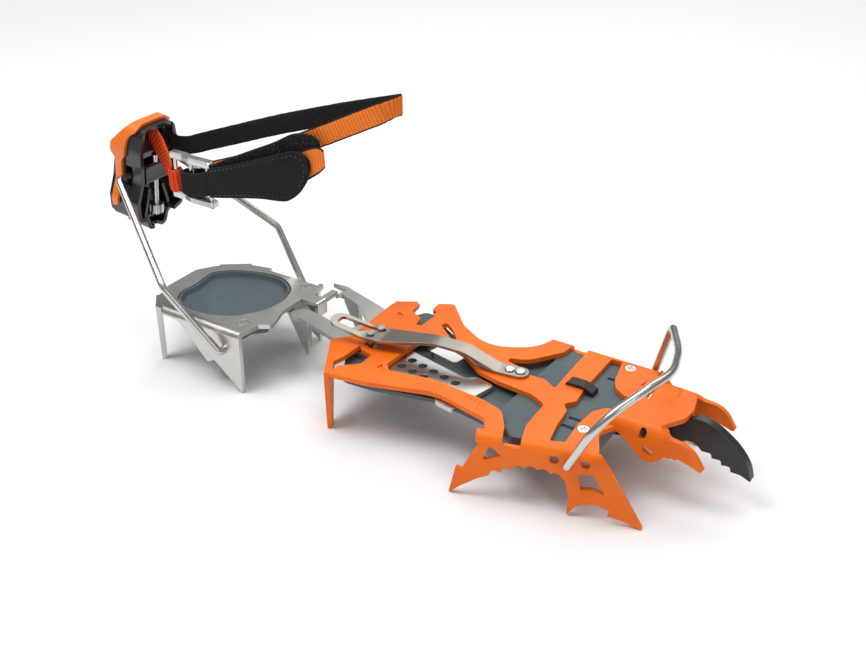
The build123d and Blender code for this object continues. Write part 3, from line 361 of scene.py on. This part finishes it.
def webbing(name, path, width, thickness, outer, inner, rib_depth=0.24 * MM):
    """Woven tape along a path, on edge, with real ribs across it; outer is on the path's right side."""
    points = smooth_path([place(*point) for point in path], RIB_PITCH / 6)
    across = [-math.cos(math.pi * step / TAPE_STEPS) for step in range(TAPE_STEPS + 1)]
    ring = [(u, 1) for u in across] + [(u, -1) for u in reversed(across[1:-1])]
    count = len(ring)
    vertices, uvs, faces, indices = [], [], [], []
    length = 0.0
    for index, point in enumerate(points):
        ahead = points[min(index + 1, len(points) - 1)]
        behind = points[max(index - 1, 0)]
        tangent = (ahead - behind).normalized()
        side = tangent.cross(UP).normalized()
        rise = side.cross(tangent).normalized()
        length += (point - points[index - 1]).length if index else 0
        rib = rib_depth * math.cos(2 * math.pi * length / RIB_PITCH)
        for u, face in ring:
            body = math.sqrt(max(0.0, 1 - u ** 8))
            height = face * (thickness / 2 + rib * (abs(u) < 0.9)) * body
            wander = 0.12 * MM * noise.noise(Vector((length * 260, u * 0.7, 3)))
            vertices.append(point + rise * (u * width / 2 + wander) + side * height)
            uvs.append(((u + 1) / 2, length / MM))
    for index in range(len(points) - 1):
        for step in range(count):
            following = (step + 1) % count
            faces.append((index * count + step, index * count + following,
                          (index + 1) * count + following, (index + 1) * count + step))
            indices.append(0 if step < TAPE_STEPS else 1)
    last = (len(points) - 1) * count
    faces.append(tuple(range(count)))
    faces.append(tuple(last + step for step in reversed(range(count))))
    indices += [1, 1]
    return mesh_object(name, vertices, faces, [outer, inner], uvs, indices)


def pad(name, lower, upper, y, thickness, material, bow=0.0, roughen=0.0, edge=1.2 * MM, step=0.55 * MM):
    """A flat piece on edge between a lower and an upper (x, z) line, rounded at its rim."""
    low = [place(x, y, z) for x, z in lower]
    high = [place(x, y, z) for x, z in upper]
    columns = max(8, round(sum((b - a).length for a, b in zip(low, low[1:])) / step))
    low = resample(smooth_path(low, step / 2), columns)
    high = resample(smooth_path(high, step / 2), columns)
    rows = max(6, round(max((b - a).length for a, b in zip(low, high)) / step))
    vertices, faces, uvs, lookup = [], [], [], {}
    middle = (low[0] + low[-1] + high[0] + high[-1]) / 4
    reach = max((point - middle).length for point in low + high)

    def vertex(i, j, side):
        rim = i in (0, columns) or j in (0, rows)
        key = (i, j, 0 if rim else side)
        if key not in lookup:
            point = low[i].lerp(high[i], j / rows)
            span = (high[i] - low[i]).length
            inset = min(j / rows * span, (1 - j / rows) * span, i * step, (columns - i) * step + 0.2 * MM)
            bulge = math.sqrt(max(0.0, 1 - (1 - min(inset / edge, 1)) ** 2))
            rough = roughen * noise.noise(point * 2600) if not rim else 0
            arc = bow * (1 - ((point - middle).length / reach) ** 2)
            lookup[key] = len(vertices)
            vertices.append(point + Vector((0, -arc - side * (thickness / 2 * bulge + rough), 0)))
            uvs.append((j / rows, i * step / MM))
        return lookup[key]

    for i in range(columns):
        for j in range(rows):
            for side in (1, -1):
                corners = [vertex(i, j, side), vertex(i + 1, j, side), vertex(i + 1, j + 1, side),
                           vertex(i, j + 1, side)]
                faces.append(corners if side > 0 else corners[::-1])
    return mesh_object(name, vertices, faces, [material], uvs)


def resample(points, count):
    """The same polyline in a given number of equal steps."""
    length = sum((b - a).length for a, b in zip(points, points[1:]))
    return evenly(points, length / count)[:count + 1]


def stitches(name, path, length=2.0 * MM, gap=0.9 * MM, radius=0.24 * MM):
    """A row of sewn stitches along a path: short threads that dip into the cloth at both ends."""
    points = evenly([place(*point) for point in path], STITCH_STEP)
    run = max(4, round(length / STITCH_STEP))
    pause = max(1, round(gap / STITCH_STEP))
    vertices, faces = [], []
    for start in range(0, len(points) - run, run + pause):
        base = len(vertices)
        for index in range(run + 1):
            here = start + index
            ahead = points[min(here + 1, len(points) - 1)]
            behind = points[max(here - 1, 0)]
            sideways = (ahead - behind).normalized().cross(NEAR_SIDE).normalized()
            bulge = math.sin(math.pi * index / run)
            thin = radius * (0.35 + 0.65 * bulge)
            centre = points[here] + NEAR_SIDE * (radius * (1.1 * bulge - 0.5))
            for corner in range(STITCH_SIDES):
                angle = 2 * math.pi * corner / STITCH_SIDES
                vertices.append(centre + sideways * thin * math.cos(angle)
                                + NEAR_SIDE * thin * math.sin(angle))
        for index in range(run):
            ring = base + index * STITCH_SIDES
            for corner in range(STITCH_SIDES):
                following = (corner + 1) % STITCH_SIDES
                faces.append((ring + corner, ring + following,
                              ring + STITCH_SIDES + following, ring + STITCH_SIDES + corner))
        faces.append(tuple(base + corner for corner in reversed(range(STITCH_SIDES))))
        faces.append(tuple(base + run * STITCH_SIDES + corner for corner in range(STITCH_SIDES)))
    return mesh_object(name, vertices, faces, [THREAD])


# ---- soft pieces --------------------------------------------------------------------------------
def ride(piece, body, slot, *replaced):
    """Puts a piece on a CAD body and hides the CAD nodes that it stands for; the finish named by slot is not
    used.
    """
    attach(piece, body)
    if replaced:
        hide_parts(*replaced)


strap = webbing("ankle_strap_weave",
                [(-160, 4.6, 75.0), (-156, 6.6, 73.4), (-149, 8.8, 74.0), (-140, 10.4, 77.2),
                 (-120, 11.8, 84.6), (-86, 12.8, 97.2), (-48, 11.6, 110.3),
                 (-22, 9.8, 118.8), (-11, 8.4, 122.4), (-6.8, 4.6, 124.4), (-6.4, 0.6, 124.8),
                 (-8.6, -4.0, 123.8), (-16, -7.4, 120.0), (-48, -11.0, 103.8), (-85, -12.4, 85.4),
                 (-100, -12.6, 79.0), (-112, -12.6, 74.4)],
                width=10.4 * MM, thickness=1.3 * MM, outer=STRAP_INNER, inner=STRAP_OUTER)
ride(strap, "lever", "orange_webbing", "ankle_strap")

anchor = webbing("anchor_web_weave",
                 [(-163.2, -7.0, 82.4), (-159.6, -7.4, 80.4), (-155.2, -8.2, 75.6),
                  (-150.8, -9.4, 69.6), (-147, -11.2, 65.2), (-144.2, -14.0, 62.6),
                  (-141.2, -14.7, 62.4), (-139.2, -13.2, 62.6), (-139.4, -10.8, 63.0), (-142.0, -9.6, 63.8)],
                 width=12.6 * MM, thickness=1.5 * MM, outer=RED_WEB, inner=RED_WEB)
ride(anchor, "lever", "red_webbing", "anchor_webbing")

wrap = webbing("buckle_wrap_weave",
               [(-106, -17.9, 70.6), (-113, -18.0, 68.4), (-121, -17.5, 65.6), (-129, -16.9, 64.2),
                (-133.4, -15.8, 63.8), (-134.4, -13.6, 63.8), (-133.2, -11.4, 64.0), (-128, -10.4, 64.6),
                (-121, -10.6, 66.0)],
               width=13.0 * MM, thickness=1.7 * MM, outer=STRAP_INNER, inner=STRAP_INNER, rib_depth=0.28 * MM)
ride(wrap, "lever", "black_webbing", "buckle_wrap")

hook = pad("hook_band_pile",
           [(-113.5, 66.0), (-95, 71.6), (-70, 82.0), (-54, 90.6), (-45.5, 96.3), (-40.8, 102.6),
            (-41.4, 106.0)],
           [(-113.5, 77.4), (-100, 84.4), (-85, 91.8), (-70, 99.0), (-56.8, 106.2), (-47, 107.9),
            (-41.4, 106.0)],
           y=-15.2, thickness=1.9 * MM, material=HOOK_CLOTH, roughen=0.3 * MM, step=0.4 * MM)
ride(hook, "lever", "hook_fabric", "hook_band")

tab = pad("pull_tab_patch",
          [(-111.0, 61.6), (-100, 64.0), (-88, 66.8), (-75, 69.4), (-65, 70.6), (-58.4, 72.2), (-51.4, 77.4),
           (-46.2, 84.4), (-44.0, 91.0), (-44.6, 95.6)],
          [(-111.0, 77.8), (-100, 81.6), (-87, 86.4), (-75, 91.2), (-63.4, 96.0), (-53.5, 99.6), (-48.2, 99.2),
           (-45.6, 97.6), (-44.6, 95.6)],
          y=-19.6, thickness=2.2 * MM, material=PATCH_CLOTH, bow=0.7 * MM)
ride(tab, "lever", "black_patch", "pull_tab")

tail = pad("strap_tail_weave",
           [(-76, 77.0), (-66, 77.6), (-58, 79.6), (-50, 83.2), (-44, 87.0), (-39, 90.8), (-36.2, 93.8)],
           [(-76, 86.0), (-66, 91.0), (-58, 95.4), (-50, 99.8), (-44, 102.6), (-39.6, 103.6), (-36.6, 102.2)],
           y=-17.3, thickness=1.2 * MM, material=STRAP_OUTER, edge=0.4 * MM)
ride(tail, "lever", "black_webbing", "strap_tail")

seam = stitches("pull_tab_stitches",
                [(-108.5, -21.0, 77.0), (-87, -21.2, 84.6), (-63.4, -21.0, 93.8), (-54, -20.9, 97.2),
                 (-48.6, -20.8, 96.6), (-46.4, -20.8, 93.0), (-47.4, -20.8, 86.0), (-52.4, -20.8, 79.2),
                 (-59, -20.9, 74.4), (-66, -21.0, 72.8), (-88, -21.2, 69.0), (-108.5, -21.0, 64.0)])
ride(seam, "lever", "black_patch")


# ---- studio -------------------------------------------------------------------------------------
def area_light(name, position, target, size, power):
    data = bpy.data.lights.new(name, "AREA")
    data.shape = "RECTANGLE"
    data.size, data.size_y = size
    data.energy = power
    lamp = bpy.data.objects.new(name, data)
    bpy.context.scene.collection.objects.link(lamp)
    lamp.location = position
    lamp.rotation_euler = (Vector(target) - Vector(position)).to_track_quat("-Z", "Y").to_euler()


def studio_world(strength, horizon, horizon_end):
    """Soft white light from above that darkens to a grey at the horizon."""
    world = bpy.data.worlds.new("studio_world")
    world.use_nodes = True
    tree = world.node_tree
    sky = tree.nodes["Background"]
    sky.inputs["Strength"].default_value = strength
    direction = tree.nodes.new("ShaderNodeTexCoord")
    height = tree.nodes.new("ShaderNodeSeparateXYZ")
    shade = tree.nodes.new("ShaderNodeValToRGB")
    low, high = shade.color_ramp.elements
    low.position, low.color = 0.50, (horizon, horizon, horizon, 1)
    high.position, high.color = horizon_end, (1, 1, 1, 1)
    lift = tree.nodes.new("ShaderNodeMath")
    lift.operation = "MULTIPLY_ADD"
    lift.inputs[1].default_value = 0.5
    lift.inputs[2].default_value = 0.5
    tree.links.new(direction.outputs["Generated"], height.inputs["Vector"])
    tree.links.new(height.outputs["Z"], lift.inputs[0])
    tree.links.new(lift.outputs[0], shade.inputs["Fac"])
    tree.links.new(shade.outputs["Color"], sky.inputs["Color"])
    bpy.context.scene.world = world


FLOOR_REACH = 6
floor = mesh_object("studio_floor_sheet",
                    [(x * FLOOR_REACH, y * FLOOR_REACH, 0) for x, y in ((-1, -1), (1, -1), (1, 1), (-1, 1))],
                    [(0, 1, 2, 3)], [floor_paint()], smooth=False)

area_light("key", (-0.5, -0.5, 1.4), (0, 0, 0.04), (0.7, 0.7), 13)
area_light("fill", (1.3, -0.7, 0.8), (0, 0, 0.04), (0.6, 0.9), 2.5)
area_light("rim", (-0.2, 1.2, 1.1), (0, 0, 0.05), (1.2, 0.5), 5)
area_light("top", (0.1, 0.2, 1.5), (0, 0, 0), (0.8, 0.8), 7)
studio_world(strength=0.42, horizon=0.26, horizon_end=0.80)

CAMERA_OFFSET = Vector((309.6, -476.8, 315.1)) * MM
camera_data = bpy.data.cameras.new("camera")
camera_data.lens = 51.3
camera_data.sensor_width = 36
camera = bpy.data.objects.new("camera", camera_data)
bpy.context.scene.collection.objects.link(camera)
aim = place(0, 22, 0)
camera.location = aim + CAMERA_OFFSET
camera.rotation_euler = (aim - camera.location).to_track_quat("-Z", "Y").to_euler()
bpy.context.scene.camera = camera
bpy.context.scene.view_settings.view_transform = "Standard"
